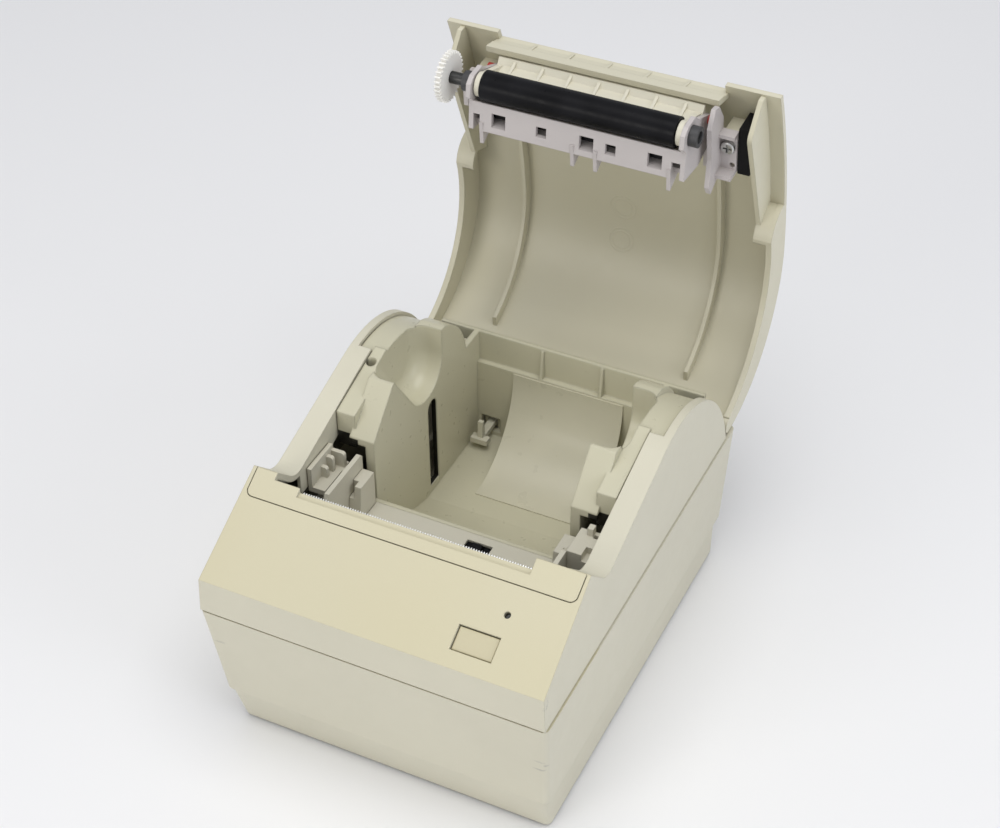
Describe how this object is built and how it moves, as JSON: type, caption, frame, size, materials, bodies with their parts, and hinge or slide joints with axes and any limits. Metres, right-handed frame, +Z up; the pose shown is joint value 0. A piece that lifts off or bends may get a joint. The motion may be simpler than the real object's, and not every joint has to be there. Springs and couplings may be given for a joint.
{
  "type": "receipt_printer",
  "caption": "Beige desktop receipt printer standing with its paper lid swung open, showing the paper roll well, tear bar, feed button and black platen roller",
  "frame": {"origin": "bottom centre of the bounding box of the printer with its lid open", "axes": "X to the right seen from the front, Y to the back, Z up"},
  "size_m": [0.145, 0.2368, 0.2167],
  "materials": {
    "case_plastic": "matte",
    "lid_plastic": "matte",
    "bucket_plastic": "matte",
    "foot_rubber": "matte",
    "screw_steel": "satin",
    "cutter_steel": "satin",
    "light_lens": "gloss",
    "board_green": "satin",
    "black_plastic": "matte",
    "button_plastic": "matte",
    "film_plastic": "satin",
    "pin_steel": "satin",
    "lever_plastic": "matte",
    "mech_plastic": "matte",
    "guide_plastic": "matte",
    "head_ceramic": "gloss",
    "heatsink_aluminium": "satin",
    "spring_steel": "satin",
    "cover_plastic": "matte",
    "motor_steel": "satin",
    "socket_plastic": "satin",
    "socket_steel": "satin",
    "frame_plastic": "matte",
    "bar_plastic": "matte",
    "red_plastic": "satin",
    "bush_plastic": "matte",
    "roller_rubber": "matte",
    "shaft_steel": "satin",
    "gear_plastic": "matte",
    "pinion_brass": "satin"
  },
  "bodies": {
    "printer": {"base_case": "case_plastic", "rubber_feet": "foot_rubber", "base_screws": "screw_steel", "upper_cabinet": "case_plastic", "knife_cover": "case_plastic", "tear_bar": "cutter_steel", "status_light": "light_lens", "panel_board": "board_green", "button_switch": "black_plastic", "paper_bucket": "bucket_plastic", "paper_deflector": "film_plastic", "lever_pin": "pin_steel", "low_paper_sensor": "black_plastic", "hinge_pin_left": "pin_steel", "hinge_pin_right": "pin_steel", "mechanism_frame": "mech_plastic", "paper_guide_plate": "guide_plastic", "paper_out_sensor": "black_plastic", "thermal_printhead": "head_ceramic", "printhead_heatsink": "heatsink_aluminium", "head_springs": "spring_steel", "guide_block_left": "guide_plastic", "guide_block_right": "guide_plastic", "drive_cover": "cover_plastic", "latch_block": "cover_plastic", "idler_pin": "pin_steel", "feed_motor": "motor_steel", "main_board": "board_green", "board_components": "black_plastic", "power_socket": "socket_plastic", "serial_socket": "socket_plastic", "usb_socket": "socket_steel", "drawer_socket": "socket_plastic"},
    "lid": {"lid_shell": "lid_plastic", "lid_catch": "black_plastic", "platen_frame": "frame_plastic", "frame_liner": "black_plastic", "guide_bar": "bar_plastic", "end_clips": "red_plastic", "frame_screws": "screw_steel", "platen_bush_left": "bush_plastic", "platen_bush_right": "bush_plastic"},
    "platen": {"platen_roller": "roller_rubber", "platen_shaft": "shaft_steel", "platen_gear": "gear_plastic"},
    "feed_button_body": {"feed_button": "button_plastic"},
    "lever_body": {"low_paper_lever": "lever_plastic"},
    "idler_body": {"idler_gear": "gear_plastic"},
    "pinion_body": {"motor_pinion": "pinion_brass"}
  },
  "joints": [
    {"name": "lid_hinge", "type": "hinge", "parent": "printer", "child": "lid", "pos_m": [0, 0.06356, 0.0745], "axis": [1, 0, 0], "range_deg": [0, 85.5]},
    {"name": "platen_spin", "type": "hinge", "parent": "lid", "child": "platen", "pos_m": [0, 0.06734, 0.2062], "axis": [1, 0, 0], "continuous": true},
    {"name": "button_press", "type": "slide", "parent": "printer", "child": "feed_button_body", "axis": [0, 0.4882, -0.8727], "range_m": [0, 0.0012], "stiffness_N_per_m": 400, "springref_m": -0.0005},
    {"name": "lever_swing", "type": "hinge", "parent": "printer", "child": "lever_body", "pos_m": [-0.035, 0.06276, 0.04], "axis": [1, 0, 0], "range_deg": [0, 8], "stiffness_Nm_per_rad": 0.01, "springref_deg": -5.73},
    {"name": "idler_spin", "type": "hinge", "parent": "printer", "child": "idler_body", "pos_m": [0, -0.05567, 0.06558], "axis": [1, 0, 0], "continuous": true},
    {"name": "pinion_spin", "type": "hinge", "parent": "printer", "child": "pinion_body", "pos_m": [0, -0.05644, 0.0475], "axis": [1, 0, 0], "continuous": true}
  ],
  "couplings": [
    {"joint": "pinion_spin", "follows": "idler_spin", "ratio": -4}
  ]
}
